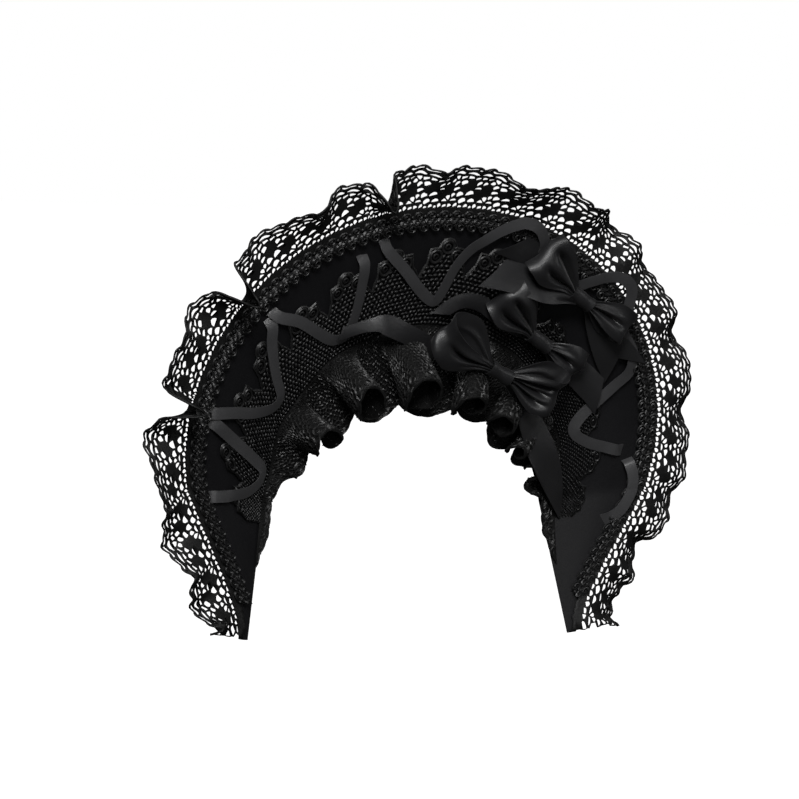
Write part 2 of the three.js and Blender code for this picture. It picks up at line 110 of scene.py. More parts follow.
# How far the outer lace tilts out of the brim's face: its main folds, and the ripples between
# them that gathering leaves, so many from the middle to a tip.
LACE_FOLDS = table("run tilt", [
    (-1, 0), (-0.94, 30), (-0.85, -8), (-0.78, 18), (-0.69, -12), (-0.61, 24), (-0.54, -6),
    (-0.515, 10), (-0.494, 80), (-0.474, 6), (-0.43, 14), (-0.39, -8), (-0.36, 6), (-0.337, 80),
    (-0.314, 6), (-0.26, 4), (-0.205, 30), (-0.155, 4), (-0.138, 10), (-0.118, 78), (-0.096, 8),
    (-0.065, 4), (-0.03, 24), (0.01, 10), (0.085, 42), (0.125, 14), (0.185, 20), (0.235, -42),
    (0.275, -30), (0.32, -44), (0.365, -30), (0.415, -44), (0.46, -28), (0.51, -46),
    (0.585, -26), (0.625, -42), (0.67, -28), (0.725, -62), (0.81, -40), (0.87, -54), (1, -30),
])
LACE_RIPPLES = table("count tilt", [(19, 4), (11.59, 2.4)])
# Where the guipure is gathered, and how far its scallops reach over the brim.
GATHER_LINE = table("run share", [
    (-0.8, 0.08), (-0.57, 0.06), (-0.4, 0.2), (-0.2, 0.29), (0, 0.33), (0.2, 0.33), (0.46, 0.26),
    (0.65, 0.14), (0.8, 0.1),
])
SCALLOPS = table("run reach", [((k - 7) * SCALLOP_PITCH, reach) for k, reach in enumerate([
    0.5, 0.7, 0.71, 0.77, 0.74, 0.78, 0.82, 0.86, 0.84, 0.72, 0.64, 0.58, 0.6, 0.57, 0.46])])
# The inner frill's pleats, down on the brim and up by turns, with the cloth's length at each.
PLEATS = table("run lean length", [
    (-0.8, 12, 1.5), (-0.7, 36, 6), (-0.62, 12, 7), (-0.565, 40, 8), (-0.48, 12, 25),
    (-0.395, 84, 27), (-0.305, 12, 40), (-0.23, 85, 31), (-0.15, 12, 49), (-0.075, 78, 39),
    (0.045, 12, 53), (0.13, 62, 42), (0.21, 12, 46), (0.285, 55, 38), (0.36, 12, 41),
    (0.41, 50, 34), (0.46, 12, 31), (0.51, 50, 24), (0.56, 12, 21), (0.62, 40, 10), (0.7, 12, 8),
    (0.75, 30, 5), (0.8, 12, 1.5),
])
# The laced ribbon's run, share and lift; where the lift is 0 it dips into the middle of the brim's
# wall, where the real ribbon passes through a slit.
LACING = [
    (-0.636, 0.82, 0), (-0.63, 0.74, 3.9), (-0.621, 0.556, 4), (-0.604, 0.31, 4),
    (-0.574, 0.184, 4.4), (-0.543, 0.186, 4.4), (-0.53, 0.308, 4), (-0.516, 0.578, 4),
    (-0.507, 0.78, 3.9), (-0.504, 0.86, 0), (-0.496, 0.9, 0), (-0.49, 0.83, 3.9),
    (-0.471, 0.668, 4), (-0.448, 0.494, 4), (-0.415, 0.372, 4.4), (-0.385, 0.372, 4.4),
    (-0.367, 0.514, 4), (-0.342, 0.694, 4), (-0.326, 0.78, 3.9), (-0.32, 0.84, 0),
    (-0.313, 0.86, 0), (-0.307, 0.79, 3.9), (-0.28, 0.67, 4), (-0.255, 0.522, 4),
    (-0.231, 0.42, 4.2), (-0.205, 0.396, 4.4), (-0.187, 0.432, 4.2), (-0.169, 0.528, 4),
    (-0.154, 0.67, 4), (-0.146, 0.78, 3.9), (-0.143, 0.85, 0), (-0.113, 0.9, 0),
    (-0.104, 0.82, 3.9), (-0.074, 0.69, 4), (-0.04, 0.558, 4), (-0.009, 0.486, 4.2),
    (0.004, 0.524, 4.2), (0.019, 0.69, 4), (0.036, 0.802, 4.6), (0.054, 0.88, 6.4),
    (0.074, 0.95, 6.8), (0.09, 1.0, 7.6), (0.105, 1.035, 8), (0.127, 1.03, 8), (0.148, 0.965, 7),
    (0.16, 0.87, 5.6), (0.2, 0.83, 3.9), (0.235, 0.86, 5), (0.25, 0.94, 7), (0.27, 1.05, 8),
    (0.29, 1.1, 8), (0.308, 1.09, 7.4), (0.325, 1.02, 6.8), (0.35, 0.92, 6.4), (0.39, 0.92, 6.2),
    (0.416, 0.86, 4.6), (0.423, 0.74, 4), (0.433, 0.57, 4), (0.442, 0.458, 4.2),
    (0.458, 0.38, 4.4), (0.48, 0.385, 4.4), (0.507, 0.476, 4), (0.526, 0.596, 4),
    (0.54, 0.7, 3.9), (0.547, 0.77, 0), (0.562, 0.8, 0), (0.572, 0.83, 5.4), (0.604, 0.9, 6.4),
    (0.637, 0.92, 6.6), (0.671, 0.9, 6.2), (0.69, 0.82, 4.6), (0.7, 0.72, 0),
]
# The bows. A loop lies along the brim from its knot, turned by its lean; its open side shows where
# the under layer stands off sideways. Pleats are shares of its half width.
Loop = namedtuple("Loop", "lean length width open rise pleats")
Bow = namedtuple("Bow", "name run share lift turn left right")
BOWS = [
    Bow("bow_1", 0.243, 0.835, 13.5, 4, Loop(13, 38.5, 26, 2, 15, (-0.3, 0.42)),
        Loop(4, 35, 19, -2, 16, (-0.12,))),
    Bow("bow_2", 0.235, 0.49, 11, 2, Loop(16, 38, 25, 3, 14, (-0.4, 0.25)),
        Loop(4, 30, 17, -3, 16, (-0.3,))),
    Bow("bow_3", 0.17, 0.245, 27, -4, Loop(6, 45.5, 20, 9, 15, (0.1,)),
        Loop(12, 38, 23, 4, 17, (-0.4, 0.0, 0.35))),
]
# The bows' free ends: how far the cut slants or is notched, how far one edge is lifted, and rows
# of run, share, lift and the ribbon's width as it lies, from the knot out.
ENDS = table("bow slant notch twist rows", [
    ("bow_1", 20, 0, 7, [
        (0.241, 0.816, 15, 5), (0.191, 0.77, 14.5, 12), (0.139, 0.75, 11, 17),
        (0.087, 0.73, 8, 18)]),
    ("bow_1", 0, 11, 1, [
        (0.271, 0.828, 9, 5), (0.317, 0.796, 8, 15), (0.364, 0.8, 7, 22), (0.414, 0.83, 6, 25)]),
    ("bow_1", 14, 0, -1, [
        (0.236, 0.84, 9, 5), (0.17, 0.87, 7, 14), (0.1, 0.885, 6.5, 15)]),
    ("bow_2", -9, 0, 1, [
        (0.232, 0.48, 8, 5), (0.158, 0.464, 8, 8), (0.093, 0.516, 7, 9), (0.05, 0.504, 6, 8),
        (0.015, 0.41, 5, 6)]),
    ("bow_2", -14, 0, -1, [
        (0.26, 0.488, 8, 5), (0.318, 0.51, 7, 12), (0.369, 0.548, 6, 16), (0.425, 0.61, 6, 16)]),
    ("bow_3", 6, 0, 2, [
        (0.15, 0.2, 17, 6), (0.091, 0.202, 15, 8), (0.012, 0.23, 14, 10),
        (-0.066, 0.332, 14, 10), (-0.118, 0.414, 12, 10), (-0.15, 0.43, 9, 5.5),
        (-0.215, 0.437, 6, 6)]),
    ("bow_3", 30, 0, -7, [
        (0.214, 0.216, 21, 5), (0.294, 0.154, 20, 8), (0.379, 0.108, 20, 13),
        (0.467, 0.088, 20, 16), (0.544, 0.07, 18, 16), (0.6, 0.05, 16, 15)]),
])


# Places on the bonnet, for whole arrays of points.

def from_table(rows, run, name):
    """A named column of a table at each run, eased from row to row."""
    runs = np.array([row.run for row in rows])
    values = np.array([getattr(row, name) for row in rows], float)
    after = np.clip(np.searchsorted(runs, run), 1, len(rows) - 1)
    part = np.clip((run - runs[after - 1]) / (runs[after] - runs[after - 1]), 0, 1)
    part = 0.5 - 0.5 * np.cos(pi * part)
    return values[after - 1] + (values[after] - values[after - 1]) * part


def smooth(value, low, high):
    part = np.clip((value - low) / (high - low), 0, 1)
    return part * part * (3 - 2 * part)


def unit(vectors):
    return vectors / np.maximum(np.linalg.norm(vectors, axis=-1, keepdims=True), 1e-9)


def column(values):
    return np.asarray(values, float)[..., None]


def brim_width(run):
    taper = np.maximum(0, 1 - np.abs(run) ** TAPER_START) ** TAPER_POWER
    return TIP_WIDTH + (BRIM_WIDTH - TIP_WIDTH) * taper


def brim_frame(run):
    """The inner edge at each run, and the directions along the brim's width and out of its face."""
    arc_angle = radians(90 - LEG_SPLAY)
    arc_length = CROWN_RADIUS * arc_angle
    along = np.abs(run) * (arc_length + LEG_LENGTH)
    angle = np.minimum(along / CROWN_RADIUS, arc_angle)
    leg = np.maximum(0, along - arc_length)
    side = np.where(run < 0, -1.0, 1.0)
    foot = np.stack([
        side * (CROWN_RADIUS * np.sin(angle) + leg * np.cos(angle)),
        -LEG_LEAN * leg / LEG_LENGTH,
        CROWN_RADIUS * (np.cos(angle) - 1) - leg * np.sin(angle),
    ], axis=-1)
    sideways = np.sin(np.minimum(1, np.abs(run) / FLARE_SIDE_RUN) * pi / 2) ** 2
    flare = np.radians(FLARE_TOP + (FLARE_SIDE - FLARE_TOP) * sideways)
    outward = np.stack([side * np.sin(angle), 0 * angle, np.cos(angle)], axis=-1)
    forward = np.array([0.0, -1.0, 0.0])
    across = outward * column(np.cos(flare)) + forward * column(np.sin(flare))
    face = forward * column(np.cos(flare)) - outward * column(np.sin(flare))
    return foot, across, face


def on_brim(run, share, lift=0.0):
    """Points at a share of the brim's width, raised from the middle of its wall."""
    run, share = np.broadcast_arrays(np.asarray(run, float), np.asarray(share, float))
    foot, across, face = brim_frame(run)
    width = brim_width(run)
    camber = width * CAMBER_SHARE * np.sin(pi * np.clip(share, 0, 1))
    return foot + across * column(width * share) + face * column(camber + lift)


def face_frame(run, share):
    """Along the run, outward, and out of the brim's face."""
    step = FRAME_STEP
    along = unit(on_brim(run + step, share) - on_brim(run - step, share))
    outward = on_brim(run, share + step) - on_brim(run, share - step)
    face = unit(np.cross(along, outward))
    return along, np.cross(face, along), face


def lace_surface(run, across):
    """The outer lace: `across` is 0 at the brim's edge, negative under the gimp."""
    width = brim_width(run)
    share = 1 + np.minimum(across, 0) / width
    base = on_brim(run, share, LACE_LIFT)
    _, outward, face = face_frame(run, np.ones_like(run))
    base = base + outward * column(np.clip(across, 0, LACE_EDGE_RUN))
    tilt = np.radians(lace_tilt(run))
    free = np.clip((across - LACE_EDGE_RUN) / LACE_WIDTH, 0, None)
    bent = np.minimum(free, LACE_ROOT_SHARE) / LACE_ROOT_SHARE
    safe = np.where(np.abs(tilt) < 1e-3, 1e-3, tilt)
    straight = np.maximum(0, free - LACE_ROOT_SHARE)
    reach = LACE_ROOT_SHARE * np.sin(safe * bent) / safe + straight * np.cos(safe)
    rise = LACE_ROOT_SHARE * (1 - np.cos(safe * bent)) / safe + straight * np.sin(safe)
    return base + outward * column(reach * LACE_WIDTH) + face * column(rise * LACE_WIDTH)


def lace_tilt(run):
    """The main folds, with the smaller ripples that gathering leaves between them."""
    tilt = from_table(LACE_FOLDS, run, "tilt")
    for ripple in LACE_RIPPLES:
        tilt = tilt + ripple.tilt * np.sin(2 * pi * run * ripple.count)
    return tilt


def fold_phase(run):
    """A half turn from each pleat to the next, and how far apart in run those two are."""
    runs = np.array([row.run for row in PLEATS])
    before = np.clip(np.searchsorted(runs, run) - 1, 0, len(runs) - 2)
    gap = runs[before + 1] - runs[before]
    return pi * (before + (run - runs[before]) / gap), gap


def frill_length(run):
    """The cloth's length; the hem is drawn up where a fold on the brim turns under the next."""
    length = from_table(PLEATS, run, "length")
    turn, _ = fold_phase(run)
    side = np.where(np.cos(turn) > 0, np.sin(2 * turn) ** 2, 0)
    return length - FRILL_ROUNDING * side * smooth(length, FRILL_ROUNDED_FROM, FRILL_LONG)


def frill_surface(run, distance):
    """The inner frill at a distance from its gather line, along the cloth."""
    gather = from_table(GATHER_LINE, run, "share")
    base = on_brim(run, gather, GUIPURE_LIFT)
    _, across, face = brim_frame(run)
    along, _, _ = face_frame(run, gather)
    lean = np.radians(from_table(PLEATS, run, "lean"))
    length = frill_length(run)
    part = np.clip(distance / length, 0, 1)
    inward, rise = 0, 0
    for k in range(FRILL_STEPS):
        middle = part * (k + 0.5) / FRILL_STEPS
        turned = lean * (1 - FRILL_CURL * middle)
        inward = inward + np.cos(turned)
        rise = rise + np.sin(turned)
    reach = part * length / FRILL_STEPS
    turn, gap = fold_phase(run)
    widest = np.where(np.cos(turn) > 0, FRILL_VALLEY_SWAY, FRILL_CREST_SWAY) * gap
    sway = widest * np.sin(2 * turn) * smooth(length, FRILL_SWAYED_FROM, FRILL_LONG) * part ** 0.8
    return (base - across * column(inward * reach) + face * column(rise * reach)
            + along * column(sway))


def raised(surface, first, second, height, steps=(0.0008, 0.2)):
    """Points of a surface, raised along its normal."""
    one, two = steps
    point = surface(first, second)
    sideways = surface(first + one, second) - surface(first - one, second)
    across = surface(first, second + two) - surface(first, second - two)
    return point + unit(np.cross(sideways, across)) * column(height)


def travelled(points):
    """How far along a line of points each of them lies."""
    return np.concatenate([[0], np.cumsum(np.linalg.norm(np.diff(points, axis=0), axis=1))])


def repeats_along(line, end, pitch):
    """How often a pattern fits along a line between two ends, and the line's length. The last
    value finds the run at any distance along the pattern."""
    runs = np.linspace(-end, end, 6000)
    lengths = travelled(line(runs))
    count = round(lengths[-1] / pitch)
    scale = lengths[-1] / (count * pitch)
    return count, lengths[-1], lambda along: np.interp(along * scale, lengths, runs)


# Modelling by hand: flat pieces in millimetres, joined, repeated and then laid in place.

def deselect():
    for item in bpy.context.selected_objects:
        item.select_set(False)


def add_object(name, data):
    item = bpy.data.objects.new(name, data)
    bpy.context.collection.objects.link(item)
    return item


def make_active(piece):
    deselect()
    piece.select_set(True)
    bpy.context.view_layer.objects.active = piece


def ring(at, radius, thread, segments, sides=3):
    """A loop of thread."""
    deselect()
    bpy.ops.mesh.primitive_torus_add(major_segments=segments, minor_segments=sides,
                                     major_radius=radius, minor_radius=thread, location=at)
    return bpy.context.object


def cords(lines, thread, capped=False):
    """Threads along lines of points, as one mesh."""
    curve = bpy.data.curves.new("thread_cords", "CURVE")
    curve.dimensions = "3D"
    for line in lines:
        strand = curve.splines.new("POLY")
        strand.points.add(len(line) - 1)
        for knot, point in zip(strand.points, line):
            knot.co = (*point, 1)
    curve.bevel_depth = thread
    curve.bevel_resolution = 0
    curve.use_fill_caps = capped
    make_active(add_object("thread_cords", curve))
    bpy.ops.object.convert(target="MESH")
    return bpy.context.object


def meeting_point(a, b, c):
    """The point as far from a as from b and c."""
    turned = 2 * (a.x * (b.y - c.y) + b.x * (c.y - a.y) + c.x * (a.y - b.y))
    if abs(turned) < 1e-9:
        return (a + b + c) / 3
    squares = [p.x * p.x + p.y * p.y for p in (a, b, c)]
    return Vector((
        (squares[0] * (b.y - c.y) + squares[1] * (c.y - a.y) + squares[2] * (a.y - b.y)) / turned,
        (squares[0] * (c.x - b.x) + squares[1] * (a.x - c.x) + squares[2] * (b.x - a.x)) / turned,
    ))


def meetings(seeds, period):
    """The seeds of a pattern that repeats along the lace, and each three whose cells meet, with
    the point where they do."""
    points = [Vector((x + shift * period, y)) for shift in (0, -1, 1) for x, y in seeds]
    corners, _, triangles, *_ = delaunay_2d_cdt(points, [], [], 0, 1e-6)
    return corners, [(three, meeting_point(*(corners[k] for k in three))) for three in triangles]


def cells_of(seeds, period):
    """The cell round each seed."""
    corners, found = meetings(seeds, period)
    around = {}
    for three, point in found:
        for k in three:
            around.setdefault(k, []).append(point)
    cells = []
    for seed in seeds:
        index = min(range(len(corners)), key=lambda k: (corners[k] - Vector(seed)).length)
        middle = corners[index]
        cells.append(sorted(around[index], key=lambda p: atan2(p.y - middle.y, p.x - middle.x)))
    return cells


def net(seeds, period, low, high, thread, rise):
    """A net of threads round one hole for each seed, some threads lying higher than others."""
    sides = {}
    for (a, b, c), point in meetings(seeds, period)[1]:
        for side in ((a, b), (b, c), (c, a)):
            sides.setdefault(tuple(sorted(side)), []).append(point)
    lines = []
    for number, ends in enumerate(sides.values()):
        if len(ends) < 2:
            continue
        first, second = ends[:2]
        middle = (first + second) / 2
        if 0 <= middle.x < period and low <= middle.y <= high:
            overlap = (second - first).normalized() * thread * 0.3
            height = rise * (number * 7 % 5) / 4
            lines.append([(*(first - overlap), height), (*(second + overlap), rise - height)])
    return cords(lines, thread)


# A hole's corners, how square it is in its cell, and the least room that opens one.
HOLE_POINTS = 11
HOLE_ROUNDNESS = 5
SMALLEST_HOLE = 0.22


def web(name, cells, half_thread):
    """A flat web: each cell's border with a rounded hole in it, or all of a closed cell."""
    points = []
    faces = []
    for cell, is_open in cells:
        corner = np.array([tuple(p) for p in cell])
        middle = corner.mean(axis=0)
        first = len(points)
        points += [(x, y, 0) for x, y in corner]
        count = len(corner)
        span = np.maximum(np.ptp(corner, axis=0), 0.5)
        ahead = np.roll(corner, -1, axis=0) - corner
        normal = np.stack([ahead[:, 1], -ahead[:, 0]], axis=1)
        long_enough = np.linalg.norm(normal, axis=1) > 1e-6
        normal = unit(normal)[long_enough]
        room = ((corner[long_enough] - middle) * normal).sum(axis=1) - half_thread
        if not is_open or room.min() < SMALLEST_HOLE:
            centre = len(points)
            points.append((*middle, 0))
            faces += [(first + k, first + (k + 1) % count, centre) for k in range(count)]
            continue
        inner = len(points)
        turns = 2 * pi * np.arange(HOLE_POINTS) / HOLE_POINTS
        ray = np.stack([span[0] * np.cos(turns), span[1] * np.sin(turns)], axis=1)
        near = np.maximum(0, ray @ normal.T) / room
        reach = (near ** HOLE_ROUNDNESS).sum(axis=1) ** (-1 / HOLE_ROUNDNESS)
        hole = middle + ray * column(reach)
        points += [(x, y, 0) for x, y in hole]
        outer_turn, inner_turn = (np.unwrap(np.arctan2(*(line - middle).T[::-1]))
                                  for line in (corner, hole))
        inner_turn += 2 * pi * round((outer_turn[0] - inner_turn[0]) / (2 * pi))
        start = int(np.argmin(np.abs(inner_turn - outer_turn[0])))
        outer_at, inner_at = 0, 0
        while outer_at < count or inner_at < HOLE_POINTS:
            next_outer = outer_turn[(outer_at + 1) % count] + 2 * pi * ((outer_at + 1) // count)
            k = start + inner_at + 1
            next_inner = inner_turn[k % HOLE_POINTS] + 2 * pi * (k // HOLE_POINTS)
            a = first + outer_at % count
            b = inner + (start + inner_at) % HOLE_POINTS
            if inner_at >= HOLE_POINTS or (outer_at < count and next_outer <= next_inner):
                outer_at += 1
                faces.append((a, first + outer_at % count, b))
            else:
                inner_at += 1
                faces.append((a, inner + (start + inner_at) % HOLE_POINTS, b))
    mesh = bpy.data.meshes.new(name)
    mesh.from_pydata(points, [], faces)
    return add_object(name, mesh)


def weld(piece, distance, outwards=False):
    """Joins points that lie together and, if asked, turns all faces outwards."""
    make_active(piece)
    bpy.ops.object.mode_set(mode="EDIT")
    bpy.ops.mesh.select_all(action="SELECT")
    bpy.ops.mesh.remove_doubles(threshold=distance)
    if outwards:
        bpy.ops.mesh.normals_make_consistent(inside=False)
    bpy.ops.object.mode_set(mode="OBJECT")


def boss(at, size, turn=0.0):
    """A small woven knob, with its half width, half height and rise."""
    deselect()
    bpy.ops.mesh.primitive_uv_sphere_add(segments=6, ring_count=4, radius=1, location=at,
                                         rotation=(0, 0, radians(turn)))
    knob = bpy.context.object
    knob.scale = size
    return knob


def join(name, pieces):
    deselect()
    for piece in pieces:
        piece.select_set(True)
    bpy.context.view_layer.objects.active = pieces[0]
    bpy.ops.object.transform_apply(location=True, rotation=True, scale=True)
    if len(pieces) > 1:
        bpy.ops.object.join()
    joined = bpy.context.object
    joined.name = name
    joined.data.name = name
    return joined


def modify(piece, kind, **settings):
    """Adds a modifier to a piece and applies it."""
    modifier = piece.modifiers.new("change", kind)
    for name, value in settings.items():
        setattr(modifier, name, value)
    make_active(piece)
    bpy.ops.object.modifier_apply(modifier=modifier.name)


def repeat(piece, count, pitch):
    modify(piece, "ARRAY", count=count, use_relative_offset=False, use_constant_offset=True,
           constant_offset_displace=(pitch, 0, 0))
    return piece


def thicken(piece, wall):
    modify(piece, "SOLIDIFY", thickness=wall * MM, offset=0)


def coordinates(piece):
    points = np.empty(len(piece.data.vertices) * 3)
    piece.data.vertices.foreach_get("co", points)
    return points.reshape(-1, 3)


def lay(piece, place):
    """Takes a flat piece to its place on the bonnet, from millimetres to metres."""
    along, across, height = coordinates(piece).T
    points = np.ascontiguousarray(place(along, across, height) * MM, float)
    piece.data.vertices.foreach_set("co", points.ravel())
    piece.data.update()


def flat_grid(name, columns, rows):
    """A grid over 0 to 1 both ways, with its UV map."""
    deselect()
    bpy.ops.mesh.primitive_grid_add(x_subdivisions=columns, y_subdivisions=rows, size=1,
                                    location=(0.5, 0.5, 0))
    piece = bpy.context.object
    bpy.ops.object.transform_apply(location=True)
    piece.name = name
    piece.data.name = name
    return piece


def finish(piece, material, node, angle=60):
    """Smooths edges below an angle, sets the material and hides the part the piece stands for."""
    make_active(piece)
    bpy.ops.object.shade_smooth_by_angle(angle=radians(angle))
    piece.data.materials.clear()
    piece.data.materials.append(material)
    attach(piece, "root")
    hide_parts(node)


# Finishes.

class Value:
    """A shader value that Python's operators turn into Math nodes."""

    def __init__(self, cloth, socket):
        self.cloth = cloth
        self.socket = socket

    def math(self, operation, other):
        node = self.cloth.tree.nodes.new("ShaderNodeMath")
        node.operation = operation
        for socket, value in zip(node.inputs, (self, other)):
            self.cloth.feed(socket, value)
        return Value(self.cloth, node.outputs[0])

    def __add__(self, other):
        return self.math("ADD", other)

    def __sub__(self, other):
        return self.math("SUBTRACT", other)

    def __mul__(self, other):
        return self.math("MULTIPLY", other)


class Cloth:
    """A material with one Principled shader and nodes added by name."""

    def __init__(self, name, **constants):
        self.material = bpy.data.materials.new(name)
        self.material.use_nodes = True
        self.tree = self.material.node_tree
        self.shader = self.tree.nodes["Principled BSDF"]
        for socket, value in constants.items():
            self.shader.inputs[socket.replace("_", " ")].default_value = value

    def feed(self, socket, value):
        if isinstance(value, Value):
            self.tree.links.new(value.socket, socket)
        else:
            socket.default_value = value

    def node(self, kind, **sockets):
        node = self.tree.nodes.new(kind)
        for name, value in sockets.items():
            self.feed(node.inputs[name], value)
        return Value(self, node.outputs[0])

    def noise(self, scale, detail, kind="Object", stretch=(1, 1, 1)):
        place = Value(self, self.tree.nodes.new("ShaderNodeTexCoord").outputs[kind])
        mapped = self.node("ShaderNodeMapping", Vector=place, Scale=stretch)
        return self.node("ShaderNodeTexNoise", Vector=mapped, Scale=scale, Detail=detail)

    def blend(self, factor, dark, light):
        mixer = self.tree.nodes.new("ShaderNodeMix")
        mixer.data_type = "RGBA"
        self.feed(mixer.inputs[0], factor)
        mixer.inputs[6].default_value = (*dark, 1)
        mixer.inputs[7].default_value = (*light, 1)
        return Value(self, mixer.outputs[2])

    def set(self, socket, value):
        self.feed(self.shader.inputs[socket], value)

    def bump(self, height, strength, distance):
        self.set("Normal", self.node("ShaderNodeBump", Height=height, Strength=strength,
                                     Distance=distance))


def grey(level, blue=None):
    """A grey, or one with a little more blue."""
    return level, level, blue or level


# A finish's noises: their coordinates, scale, detail and stretch, and how much of each goes into
# the colour, the roughness and the bump.
GRAINS = "kind scale detail stretch colour rough bump"
EVEN = (1, 1, 1)
TWISTED_THREAD = table(GRAINS, [("Object", 900, 4, EVEN, 0.6, 0.3, 1),
                                ("Object", 60, 2, EVEN, 0.4, 0, 0)])
WOVEN_SATIN = table(GRAINS, [("UV", 1, 2, (90, 900, 1), 0.3, 0.18, 0.6),
                             ("Object", 50, 3, EVEN, 0.7, 0.1, 0.4)])
DRAWN_SATIN = table(GRAINS, [("Object", 1400, 2, EVEN, 0, 0.2, 0.25),
                             ("Object", 28, 3, (1, 1, 0.4), 1, 0, 2)])
SCUFFED_PLASTIC = table(GRAINS, [("Object", 300, 3, EVEN, 1, 0.25, 1)])


def cloth_material(name, grains, dark, light, roughness, strength, distance, **constants):
    """A material whose colour, roughness and bump all follow the same few noises."""
    cloth = Cloth(name, **constants)
    colour, height = 0, 0
    for grain in grains:
        noise = cloth.noise(grain.scale, grain.detail, grain.kind, grain.stretch)
        colour = noise * grain.colour + colour
        roughness = (noise - 0.5) * grain.rough + roughness
        height = noise * grain.bump + height
    cloth.set("Base Color", cloth.blend(colour, dark, light))
    cloth.set("Roughness", roughness)
    cloth.bump(height, strength, distance)
    return cloth.material


def thread_material(name, roughness, gloss, dark, light):
    return cloth_material(name, TWISTED_THREAD, dark, light, roughness, 0.6, 0.0004,
                          Specular_IOR_Level=gloss)


def satin_material(name, roughness, dark, light):
    return cloth_material(name, WOVEN_SATIN, dark, light, roughness, 0.25, 0.0003,
                          Sheen_Weight=0.06, Sheen_Roughness=0.35, Specular_IOR_Level=0.4)


# Pieces.

def brim(material):
    piece = flat_grid("brim_cover", 160, 40)
    lay(piece, lambda along, across, _: on_brim(along * 2 - 1, across))
    thicken(piece, BRIM_WALL)
    modify(piece, "BEVEL", width=BRIM_ROUNDING * MM, segments=3, angle_limit=radians(50))
    finish(piece, material, "brim")


# The edging lace, one motif to a repeat. Rows of holes from the brim's edge out: how far out,
# holes in a repeat, their shift by a part of a hole, how far they wander, the room one keeps
# round it and whether it is open.
LACE_REPEAT = 23.4
LACE_BUMPS = 3
LACE_HOLES = table("out count shift wander room open", [
    (-3.4, 6, 0.0, 0.2, 1.0, False), (-1.0, 7, 0.3, 0.2, 1.0, False),
    (1.1, 8, 0.0, 0.2, 1.0, False), (3.2, 7, 0.3, 0.7, 1.2, True), (6.9, 4, 0.0, 0.5, 2.4, True),
    (22.3, 6, 0.5, 0.0, 1.7, True), (24.9, 6, 0.5, 0.0, 1.7, True),
])
# The ground between them: from where to where it runs out, how often a hole of one size is tried
# there, and the least and most room it keeps round it.
LACE_GROUND = (4.2, 20.8)
LACE_DARTS = [(60, 2.4, 2.8), (700, 1.8, 2.2), (900, 1.4, 1.6), (1500, 1.0, 1.15)]
# The lines of long holes along the lace's edge, and how its hem runs in bumps.
LACE_INNER_LINE = 23.6
LACE_MIDDLE_LINE = 26.2
LACE_OUTER_LINE = 28.7
LACE_BUMP = 1.7
LACE_BUMPS_FROM = 17
LACE_SLANT = 0.5
LACE_HALF_THREAD = 0.35
LACE_WALL = 0.7
LACE_JOIN = 0.03
LACE_CORD = 0.62
LACE_MEASURED_AT = 20
# The solid leaves: no hole opens within these leaning ovals.
LACE_PATCHES = table("along out wide high lean", [
    (4.6, 14.6, 3.0, 5.4, -30), (16.6, 15.4, 4.4, 2.6, 12), (12.2, 11.0, 1.6, 1.6, 0),
])


def apart(x, other):
    """How far apart two places along the repeat are, the short way round."""
    return (x - other + LACE_REPEAT / 2) % LACE_REPEAT - LACE_REPEAT / 2


def in_patch(x, y):
    for patch in LACE_PATCHES:
        lean = radians(-patch.lean)
        dx, dy = apart(x, patch.along), y - patch.out
        u = (dx * cos(lean) - dy * sin(lean)) / patch.wide
        v = (dx * sin(lean) + dy * cos(lean)) / patch.high
        if u * u + v * v < 1:
            return True
    return False


def lace_cells(seed=5):
    rng = np.random.default_rng(seed)
    placed = []
    for row in LACE_HOLES:
        for k in range(row.count):
            away = rng.uniform(-1, 1, 2) * row.wander
            placed.append(((k + 0.5 + row.shift) / row.count * LACE_REPEAT % LACE_REPEAT + away[0],
                           row.out + away[1], row.room, row.open))
    for tries, least, most in LACE_DARTS:
        for _ in range(tries):
            x, y, room = rng.uniform((0, LACE_GROUND[0], least),
                                     (LACE_REPEAT, LACE_GROUND[1], most))
            if all(apart(x, u) ** 2 + (y - v) ** 2 > (room + other) ** 2
                   for u, v, other, _ in placed):
                placed.append((x, y, room, True))
    seeds = [(x, y) for x, y, _, _ in placed]
    cells = []
    for cell, (x, y, _, is_open) in zip(cells_of(seeds, LACE_REPEAT), placed):
        if -3 < y < LACE_INNER_LINE:
            cells.append((cell, is_open and not in_patch(x, y)))
    bump = LACE_REPEAT / LACE_BUMPS
    for k in range(LACE_BUMPS):
        for low, high, shift in ((LACE_INNER_LINE, LACE_MIDDLE_LINE, 0.0),
                                 (LACE_MIDDLE_LINE, LACE_OUTER_LINE, 0.5)):
            side = [(k + shift) * bump + along for along in evenly(4, bump)]
            border = [(x, low) for x in side] + [(x, high) for x in reversed(side)]
            cells.append((border, True))
    return cells


